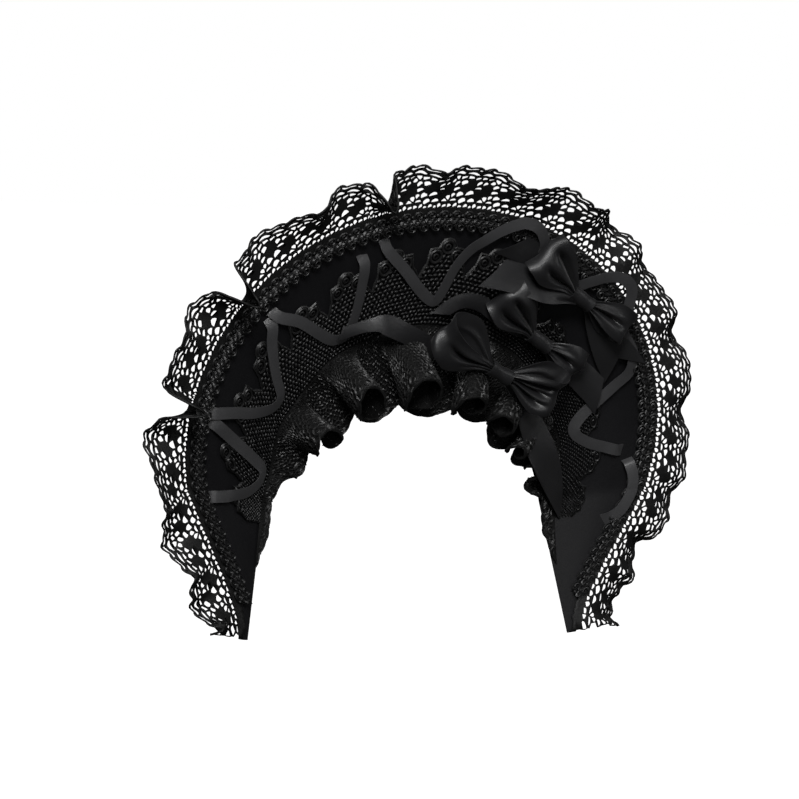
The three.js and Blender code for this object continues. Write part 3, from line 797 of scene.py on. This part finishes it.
def outer_lace(material):
    count, length, run_at = repeats_along(lambda run: lace_surface(run, LACE_MEASURED_AT),
                                          LACE_END_RUN, LACE_REPEAT)
    bump = LACE_REPEAT / LACE_BUMPS

    def place(along, across, height):
        edge = smooth(across, LACE_BUMPS_FROM, LACE_OUTER_LINE)
        across = across + LACE_BUMP * (np.abs(np.sin(pi * along / bump + 0.4)) - 0.4) * edge
        along = along + LACE_SLANT * np.maximum(0, across - LACE_INNER_LINE)
        return raised(lace_surface, run_at(along), across, height)

    piece = repeat(web("outer_lace_threads", lace_cells(), LACE_HALF_THREAD), count, LACE_REPEAT)
    weld(piece, LACE_JOIN)
    lay(piece, place)
    thicken(piece, LACE_WALL)
    parts = [piece]
    for out, thread in ((LACE_OUTER_LINE, LACE_CORD), (LACE_MIDDLE_LINE, LACE_CORD * 0.8)):
        places = evenly(count * LACE_BUMPS * 6, count * LACE_REPEAT)
        edging = cords([[(along, out, 0) for along in places]], thread)
        lay(edging, place)
        parts.append(edging)
    piece = join("outer_lace_threads", parts)
    finish(piece, material, "outer_lace", 180)


# The guipure lace. A scallop's flat repeat: three eyes over a ground of small knots.
GROUND_PITCH = 2.5
SCALLOP_WIDE = 26
SCALLOP_HIGH = 42
EYE_RADIUS = 2.8
EYE_CORD = 0.66
EYES = [(0, 37.6), (-5.4, 33.4), (5.4, 33.4)]


def scallop_edge(along):
    """How high the scallop reaches across its width."""
    part = abs(along) / (SCALLOP_WIDE / 2)
    around = (EYE_RADIUS + 1.3) ** 2
    round_eyes = max(y + max(0, around - (along - x) ** 2) ** 0.5 for x, y in EYES)
    shoulder = SCALLOP_HIGH * (0.84 - 0.26 * part ** 3)
    return max(shoulder, round_eyes) if abs(along) < 9 else shoulder


def scallop_repeat(seed=2):
    rng = np.random.default_rng(seed)
    pieces = []
    row_pitch = GROUND_PITCH * 0.85
    for row in range(int(SCALLOP_HIGH / row_pitch)):
        out = (row + 0.5) * row_pitch
        across = round(SCALLOP_WIDE / GROUND_PITCH)
        for k in range(across):
            along = (k + (0.5 if row % 2 else 0.0)) * SCALLOP_WIDE / across - SCALLOP_WIDE / 2
            near_eye = min((along - x) ** 2 + (out - y) ** 2 for x, y in EYES)
            if out > scallop_edge(along) - 1.5 or near_eye < (EYE_RADIUS + 1.0) ** 2:
                continue
            size = rng.uniform(0.85, 1.15)
            pieces.append(boss((along + rng.uniform(-0.2, 0.2), out, rng.uniform(0, 0.25)),
                               (GROUND_PITCH * 0.56, GROUND_PITCH * 0.3 * size, size),
                               turn=rng.uniform(-15, 65)))
    for x, y in EYES:
        pieces.append(ring((x, y, 0.6), EYE_RADIUS, EYE_CORD, 14, 5))
        pieces.append(ring((x, y, 0.35), EYE_RADIUS * 0.42, EYE_CORD * 0.6, 8))
    for inset, thread in ((0.5, EYE_CORD), (1.9, EYE_CORD * 0.6)):
        places = [SCALLOP_WIDE * 0.97 * (part - 0.5) for part in evenly(30)]
        edge = [(along, scallop_edge(along) - inset, 0.3) for along in places]
        pieces.append(cords([edge], thread))
    return join("scallop_lace_threads", pieces)


def scallop_lace(material):
    piece = repeat(scallop_repeat(), len(SCALLOPS), SCALLOP_WIDE)

    def place(along, across, height):
        index = np.clip(np.floor(along / SCALLOP_WIDE + 0.5), 0, len(SCALLOPS) - 1).astype(int)
        middle = np.array([row.run for row in SCALLOPS])[index]
        run = middle + (along / SCALLOP_WIDE - index) * SCALLOP_PITCH
        gather = from_table(GATHER_LINE, run, "share")
        reach = from_table(SCALLOPS, run, "reach")
        share = gather + (reach - gather) * across / SCALLOP_HIGH
        return raised(lambda run, share: on_brim(run, share, GUIPURE_LIFT), run, share, height,
                      steps=(0.001, 0.002))

    lay(piece, place)
    finish(piece, material, "scallop_lace")


FRILL_REPEAT = 15
FRILL_PITCH = 2.4
FRILL_THREAD = 0.48
FRILL_EYES = [(4.2, 4.6), (10.8, 4.6)]
FRILL_MEASURED_AT = 0.7
FRILL_ROOT = 0.2
FRILL_WALL = 0.3


def frill_repeat(seed=8):
    """The raised threads of one flounce motif, from the hem up: two eyes and a knotted ground."""
    rng = np.random.default_rng(seed)
    seeds = []
    for row in range(int(FRILL_LENGTH / FRILL_PITCH / 0.87) + 3):
        count = round(FRILL_REPEAT / FRILL_PITCH)
        for k in range(count):
            away = rng.uniform(-0.55, 0.55, 2)
            seeds.append(((k + (0.5 if row % 2 else 0)) * FRILL_REPEAT / count + away[0],
                          (row - 1) * FRILL_PITCH * 0.87 + away[1]))
    seeds = [(x, y) for x, y in seeds
             if min((x - u) ** 2 + (y - v) ** 2 for u, v in FRILL_EYES) > 10] + FRILL_EYES
    pieces = [net(seeds, FRILL_REPEAT, 1, FRILL_LENGTH, FRILL_THREAD, 0.8)]
    for x, y in FRILL_EYES:
        pieces.append(ring((x, y, 0.5), 2.3, EYE_CORD, 12, 4))
        pieces.append(ring((x, y, 0.3), 1.1, EYE_CORD * 0.6, 7))
    hem = [(along, 0.9 - 1.1 * abs(sin(2 * pi * along / FRILL_REPEAT)), 0)
           for along in evenly(12, FRILL_REPEAT)]
    pieces.append(cords([hem], EYE_CORD * 1.15))
    pieces.append(cords([[(x, y + 1.6, 0.3) for x, y, _ in hem]], EYE_CORD * 0.7))
    return join("inner_frill_threads", pieces)


def inner_frill(material, ground):
    count, length, run_at = repeats_along(
        lambda run: frill_surface(run, FRILL_MEASURED_AT * frill_length(run)),
        FRILL_END_RUN, FRILL_REPEAT)
    piece = repeat(frill_repeat(), count, FRILL_REPEAT)
    cut_to_length(piece, lambda along, up: up < frill_length(run_at(along)) - 1)

    def place(along, up, height):
        run = run_at(along)
        distance = np.maximum(FRILL_ROOT, frill_length(run) - up)
        return raised(frill_surface, run, distance, -height)

    lay(piece, place)
    finish(piece, material, "inner_frill")
    cloth = flat_grid("inner_frill_cloth", 700, 18)

    def spread(along, down, _):
        run = run_at(along * count * FRILL_REPEAT)
        hem = 0.35 + 0.4 * np.abs(np.sin(2 * pi * along * count))
        drop = (frill_length(run) - 0.8 + hem) * down
        return frill_surface(run, np.maximum(FRILL_ROOT, drop))

    lay(cloth, spread)
    thicken(cloth, FRILL_WALL)
    finish(cloth, ground, "inner_frill")
    mean = float(np.mean(frill_length(run_at(np.linspace(0, count * FRILL_REPEAT, 999)))))


def cut_to_length(piece, keep):
    """Takes away what the test doesn't keep."""
    along, up, _ = coordinates(piece).T
    kept = keep(along, up)
    mesh = bmesh.new()
    mesh.from_mesh(piece.data)
    mesh.verts.ensure_lookup_table()
    bmesh.ops.delete(mesh, geom=[v for v, k in zip(mesh.verts, kept) if not k], context="VERTS")
    mesh.to_mesh(piece.data)
    mesh.free()


# The gimp: scrolls of cord along both edges of a plait of two crossing cords.
GIMP_PITCH = 7.4
GIMP_CORD = 0.55
SCROLL_TURNS = 1.55
SCROLL_RADIUS = 2.8
SCROLL_SHRINK = 2.0
SCROLL_STRETCH = 1.12
PLAIT_SWING = 1.5


def scroll(at, side):
    """A flat curl of cord, one and a half turns inwards."""
    points = []
    for part in evenly(15):
        turn = side * (0.5 * pi + 2 * pi * SCROLL_TURNS * part)
        radius = SCROLL_RADIUS - SCROLL_SHRINK * part
        points.append((at[0] + radius * cos(turn) * SCROLL_STRETCH, at[1] - radius * sin(turn),
                       0.15 + 0.55 * part))
    return cords([points], GIMP_CORD, capped=True)


def gimp_repeat():
    pieces = []
    half = GIMP_WIDTH / 2
    for side in (-1, 1):
        shift = 0 if side > 0 else GIMP_PITCH / 2
        pieces.append(scroll(((GIMP_PITCH / 2 + shift) % GIMP_PITCH, side * (half - 2.9)), side))
        pieces.append(boss((shift % GIMP_PITCH, side * (half - 3.6), 0.1), (1.0, 1.1, 0.7)))
    for strand in range(2):
        points = []
        for along in evenly(8, GIMP_PITCH):
            turn = 2 * pi * (along / GIMP_PITCH + strand / 2)
            points.append((along, PLAIT_SWING * sin(turn), 0.75 + 0.5 * cos(turn + 0.6)))
        pieces.append(cords([points], GIMP_CORD * 0.95))
        lower = [(x, y * 0.55 + 0.2, 0.1) for x, y, _ in points]
        pieces.append(cords([lower], GIMP_CORD * 1.3))
    return join("gimp_cords", pieces)


def gimp_surface(run, across):
    return on_brim(run, 1 + (GIMP_MIDDLE + across) / brim_width(run), GIMP_LIFT)


def gimp(material):
    count, _, run_at = repeats_along(lambda run: gimp_surface(run, 0), GIMP_END_RUN, GIMP_PITCH)
    piece = repeat(gimp_repeat(), count, GIMP_PITCH)
    lay(piece, lambda along, across, height: raised(gimp_surface, run_at(along), across, height))
    finish(piece, material, "gimp_braid")


def spline(rows, samples=1200):
    """A smooth line through rows of numbers."""
    rows = np.array(rows, float)
    padded = np.vstack([2 * rows[0] - rows[1], rows, 2 * rows[-1] - rows[-2]])
    spans = len(rows) - 1
    fine = []
    for k in range(spans):
        p0, p1, p2, p3 = padded[k:k + 4]
        t = np.linspace(0, 1, samples // spans, endpoint=k == spans - 1)[:, None]
        fine.append(0.5 * (2 * p1 + (p2 - p0) * t + (2 * p0 - 5 * p1 + 4 * p2 - p3) * t ** 2
                           + (3 * p1 - p0 - 3 * p2 + p3) * t ** 3))
    return np.vstack(fine)


def brim_path(rows):
    """A path over the brim through rows of run, share and lift, and its length. The path gives a
    point, the directions sideways, along and out, and what the rows' last column holds."""
    line = spline(rows)
    run, share, lift = line[:, :3].T
    points = on_brim(run, share, lift)
    lengths = travelled(points)
    _, _, face = face_frame(run, np.clip(share, 0.01, 0.99))
    tangent = unit(np.gradient(points, axis=0))

    def path(part):
        at = part * lengths[-1]
        point, along, out = (
            np.stack([np.interp(at, lengths, data[:, k]) for k in range(3)], axis=-1)
            for data in (points, tangent, face))
        along, out = unit(along), unit(out)
        return point, unit(np.cross(out, along)), along, out, np.interp(at, lengths, line[:, -1])

    return path, lengths[-1]


def lacing(material):
    path, length = brim_path(LACING)
    piece = flat_grid("lacing_ribbon_satin", 1500, 6)

    def place(part, across, _):
        point, sideways, _, face, _ = path(part)
        side = 2 * across - 1
        cupped = 0.08 * (1 - side * side) + 0.6 * side * np.sin(part * length * 0.05)
        return point + sideways * column(side * LACING_WIDTH / 2) + face * column(cupped)

    lay(piece, place)
    thicken(piece, LACING_WALL)
    finish(piece, material, "lacing_ribbon", 35)


# Where a bow is pinched by its knot, and how its loops, knot and ends rise and fold from there.
BOW_PINCH = 4.2
BOW_CENTRE_RISE = 2.4
LOOP_ROUNDNESS = 2.2
LOOP_UNDER_SHARE = 0.35
PLEAT_DEPTH = 6
PLEAT_WIDE = 0.12
PLEAT_CREST = 1.3
LOOP_CREASE = 0.5
LOOP_WAVE = 1.5
KNOT_HALF = BOW_PINCH / 2 + 1.7
KNOT_RISE = BOW_CENTRE_RISE / 2 + 2.6
KNOT_WAIST = 0.1
KNOT_FOLD = 0.22
END_PLEAT = 0.8
END_WAVE = 0.8
END_CUPPED = 0.07
CUT_EASE = 8
# How near the two ends of a band lie before they are joined.
BAND_GAP = 1e-6


def bow_axes(bow):
    """The knot's centre, and the directions along the loops, across them and out."""
    along, outward, face = face_frame(bow.run, bow.share)
    turn = radians(bow.turn)
    first = along * cos(turn) + outward * sin(turn)
    second = outward * cos(turn) - along * sin(turn)
    return on_brim(bow.run, bow.share, bow.lift), first, second, face


def bow_loops(bow, material, seed):
    """Two loops of one band, pleated where the knot draws them in."""
    centre, first, second, face = bow_axes(bow)
    piece = flat_grid(f"{bow.name}_loops_satin", 140, 44)

    def place(part, across, _):
        turn = 2 * pi * part
        reach = np.abs(np.cos(turn))
        front = np.sin(turn) > 0
        side = across * 2 - 1
        is_left = np.cos(turn) < 0

        def of(value):
            return np.where(is_left, getattr(bow.left, value), getattr(bow.right, value))

        lean = np.radians(of("lean")) * smooth(reach, 0.05, 0.3)
        towards = np.where(is_left, -1.0, 1.0)
        spread = smooth(reach, 0.06, 0.74)
        half = (BOW_PINCH + (of("width") - BOW_PINCH) * spread) / 2
        rise = np.sin(turn) * (BOW_CENTRE_RISE / 2 + of("rise") * reach ** LOOP_ROUNDNESS)
        rise = np.where(front, rise, rise * (1 + (LOOP_UNDER_SHARE - 1) * reach))
        fold = 0
        for loop, here in ((bow.left, is_left), (bow.right, ~is_left)):
            for k, pleat in enumerate(loop.pleats):
                off = (side - pleat * (1 + 0.15 * reach)) / (PLEAT_WIDE * (1 + 0.5 * reach))
                fades = smooth(reach, 0.1, 0.35) * (1 - smooth(reach, 0.55 + 0.12 * k, 0.92))
                valley = PLEAT_DEPTH * np.exp(-off * off)
                crest = PLEAT_CREST * np.exp(-(off - 2.2) ** 2 / 2)
                fold = fold + np.where(here, (crest - valley) * fades, 0)
        fine = LOOP_CREASE * np.cos(side * pi * 4 + seed) * (1 - smooth(reach, 0.15, 0.6))
        wave = np.sin(side * 3.1 + seed * 2 + reach * 4) * smooth(reach, 0.35, 0.95)
        height = rise + np.where(front, 1.0, -0.25) * (fold + fine + LOOP_WAVE * wave)
        out = reach * of("length") * (1 + 0.02 * np.sin(side * 4 + seed))
        sideways = side * half - of("open") * np.sin(turn) * spread
        away = np.cos(lean) * out * towards
        up = np.sin(lean) * out
        return (centre + first * column(away + np.sin(lean) * -towards * sideways)
                + second * column(up + np.cos(lean) * sideways) + face * column(height))

    lay(piece, place)
    weld(piece, BAND_GAP, outwards=True)
    thicken(piece, SATIN_WALL)
    finish(piece, material, f"{bow.name}_loops", 80)


def bow_knot(bow, material):
    centre, first, second, face = bow_axes(bow)
    piece = flat_grid(f"{bow.name}_knot_satin", 48, 18)

    def place(part, across, _):
        turn = -2 * pi * part
        side = 2 * across - 1
        waist = 1 + KNOT_WAIST * side ** 2
        fold = KNOT_FOLD * np.sin(3 * pi * across + 0.7 * np.sin(turn * 2) + bow.run * 40)
        return (centre + first * column(side / 2 * KNOT_LENGTH)
                + second * column((KNOT_HALF * waist + fold) * np.cos(turn))
                + face * column((KNOT_RISE * waist + fold) * np.sin(turn)))

    lay(piece, place)
    weld(piece, BAND_GAP, outwards=True)
    thicken(piece, SATIN_WALL)
    finish(piece, material, f"{bow.name}_knot")


def bow_tails(bow, material):
    """The ribbon's free ends behind the knot, cut to a slant or a fishtail."""
    strips = []
    total = 0
    ends = [end for end in ENDS if end.bow == bow.name]
    for number, end in enumerate(ends):
        path, length = brim_path(end.rows)
        piece = flat_grid(f"{bow.name}_tail_strip", 90, 18)

        def place(part, across, _):
            point, sideways, along, face, full = path(part)
            side = 2 * across - 1
            distance = part * length
            cut = 0
            for depth, shape in ((end.slant, side / 2), (end.notch, np.abs(side) - 1)):
                near = np.maximum(0, 1 - (length - distance) / (abs(depth) + CUT_EASE))
                cut = cut + depth * shape * near
            pleat = END_PLEAT * np.cos(side * pi * 1.5 + number) * (1 - smooth(distance, 4, 22))
            wave = END_WAVE * np.sin(distance * 0.12 + number * 2)
            twist = end.twist * smooth(distance, 4, 25) + wave
            curl = twist * side - END_CUPPED * full * side ** 2
            return (point + sideways * column(side / 2 * full) + along * column(cut)
                    + face * column(pleat + curl))

        lay(piece, place)
        total += length
        strips.append(piece)
    piece = join(f"{bow.name}_tails_satin", strips)
    thicken(piece, SATIN_WALL)
    finish(piece, material, f"{bow.name}_tails")
    widths = [width for end in ends for *_, width in end.rows]
    total * MM
    total * float(np.mean(widths)) * MM * MM


# The studio.

FLOOR_HEIGHT = -0.62
FLOOR_GLOW = 0.85
ROOM_LIGHT = 0.035
# The photo's viewpoint, its size and scale in pixels, and the pixel that shows the origin.
CAMERA_AZIMUTH = -28
CAMERA_ELEVATION = 4
CAMERA_ROLL = -2.8
CAMERA_DISTANCE = 2200
PHOTO_SIZE = 799
PHOTO_SCALE = 1.83
ORIGIN_PIXEL = (409, 371)
# Soft lamps, their places and sizes in metres.
LAMPS = table("name place size power", [
    ("key", (-0.9, -1.7, 1.1), 0.6, 30), ("front", (-0.5, -2.4, 0.2), 1.2, 7),
    ("fill", (1.6, -1.3, 0.7), 0.7, 4), ("top", (0.2, 0.4, 1.6), 0.8, 8),
])
LAMPS_AIM = Vector((0, 0, -0.03))
DAYLIGHT_FROM = Vector((-0.9, -1.0, 1.35))


def camera():
    azimuth, elevation, roll = (radians(a) for a in (CAMERA_AZIMUTH, CAMERA_ELEVATION, CAMERA_ROLL))
    back = Vector((sin(azimuth) * cos(elevation), -cos(azimuth) * cos(elevation), sin(elevation)))
    right = Vector((cos(azimuth), sin(azimuth), 0))
    up = back.cross(right)
    sideways = right * cos(roll) - up * sin(roll)
    upward = right * sin(roll) + up * cos(roll)
    lens = bpy.data.cameras.new("camera")
    lens.sensor_width = 36
    lens.lens = PHOTO_SCALE * CAMERA_DISTANCE / PHOTO_SIZE * lens.sensor_width
    lens.shift_x = -(ORIGIN_PIXEL[0] - PHOTO_SIZE / 2) / PHOTO_SIZE
    lens.shift_y = (ORIGIN_PIXEL[1] - PHOTO_SIZE / 2) / PHOTO_SIZE
    lens.clip_end = 50
    viewer = add_object("camera", lens)
    axes = Matrix((sideways, upward, back)).transposed().to_4x4()
    viewer.matrix_world = Matrix.Translation(back * CAMERA_DISTANCE * MM) @ axes
    bpy.context.scene.camera = viewer


def add_light(name, kind, power, at, direction, **settings):
    light = bpy.data.lights.new(name, kind)
    light.energy = power
    for setting, value in settings.items():
        setattr(light, setting, value)
    lamp = add_object(name, light)
    lamp.location = at
    lamp.rotation_euler = direction.to_track_quat("-Z", "Y").to_euler()


def studio():
    scene = bpy.context.scene
    scene.view_settings.view_transform = "Standard"
    deselect()
    bpy.ops.mesh.primitive_plane_add(size=40, location=(0, 0, FLOOR_HEIGHT))
    floor = bpy.context.object
    floor.name = "floor"
    floor.visible_glossy = False
    floor.visible_diffuse = False
    paper = Cloth("floor_paper", Roughness=0.9, Emission_Strength=FLOOR_GLOW)
    grain = paper.noise(30, 2)
    paper.set("Base Color", paper.blend(grain, grey(0.88), grey(0.92)))
    paper.set("Emission Color", (1, 1, 1, 1))
    floor.data.materials.append(paper.material)
    scene.world = scene.world or bpy.data.worlds.new("studio")
    scene.world.use_nodes = True
    nodes, links = scene.world.node_tree.nodes, scene.world.node_tree.links
    room = nodes["Background"]
    wall = nodes.new("ShaderNodeBackground")
    for node, strength in ((room, ROOM_LIGHT), (wall, 1.0)):
        node.inputs["Color"].default_value = (1, 1, 1, 1)
        node.inputs["Strength"].default_value = strength
    seen = nodes.new("ShaderNodeMixShader")
    links.new(nodes.new("ShaderNodeLightPath").outputs["Is Camera Ray"], seen.inputs[0])
    links.new(room.outputs[0], seen.inputs[1])
    links.new(wall.outputs[0], seen.inputs[2])
    links.new(seen.outputs[0], nodes["World Output"].inputs["Surface"])
    add_light("daylight", "SUN", 1.3, (0, 0, 0), -DAYLIGHT_FROM, angle=radians(24))
    for lamp in LAMPS:
        at = Vector(lamp.place)
        add_light(lamp.name, "AREA", lamp.power, at, LAMPS_AIM - at, shape="DISK", size=lamp.size)


def main():
    camera()
    studio()
    satin = satin_material("ribbon_satin", 0.38, grey(0.006, 0.0065), grey(0.018, 0.019))
    # The lacing is the bows' black satin with a lightened colour: painted highlight for the light
    # it catches.
    ribbon = satin_material("lacing_satin_painted_highlight", 0.34, grey(0.028, 0.029), grey(0.055, 0.057))
    flounce = thread_material("flounce_thread", 0.45, 0.38, grey(0.003), grey(0.014))
    guipure = thread_material("guipure_thread", 0.44, 0.42, grey(0.003), grey(0.012, 0.0125))
    ground = thread_material("guipure_ground", 0.7, 0.12, grey(0.002), grey(0.005))
    cotton = thread_material("lace_cotton", 0.6, 0.3, grey(0.003), grey(0.008))
    braid = thread_material("gimp_cord", 0.42, 0.42, grey(0.004), grey(0.014, 0.0145))
    brim(cloth_material("brim_satin", DRAWN_SATIN, grey(0.0035, 0.004), grey(0.009, 0.010), 0.5,
                        0.35, 0.0012, Specular_IOR_Level=0.14))
    outer_lace(cotton)
    scallop_lace(guipure)
    inner_frill(flounce, ground)
    gimp(braid)
    lacing(ribbon)
    for number, bow in enumerate(BOWS):
        bow_loops(bow, satin, number * 1.7)
        bow_knot(bow, satin)
        bow_tails(bow, satin)
    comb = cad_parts["hair_comb"]
    comb.data.materials.clear()
    comb.data.materials.append(cloth_material(
        "comb_plastic", SCUFFED_PLASTIC, grey(0.012), grey(0.03), 0.28, 0.15, 0.0002,
        Specular_IOR_Level=0.5))


main()
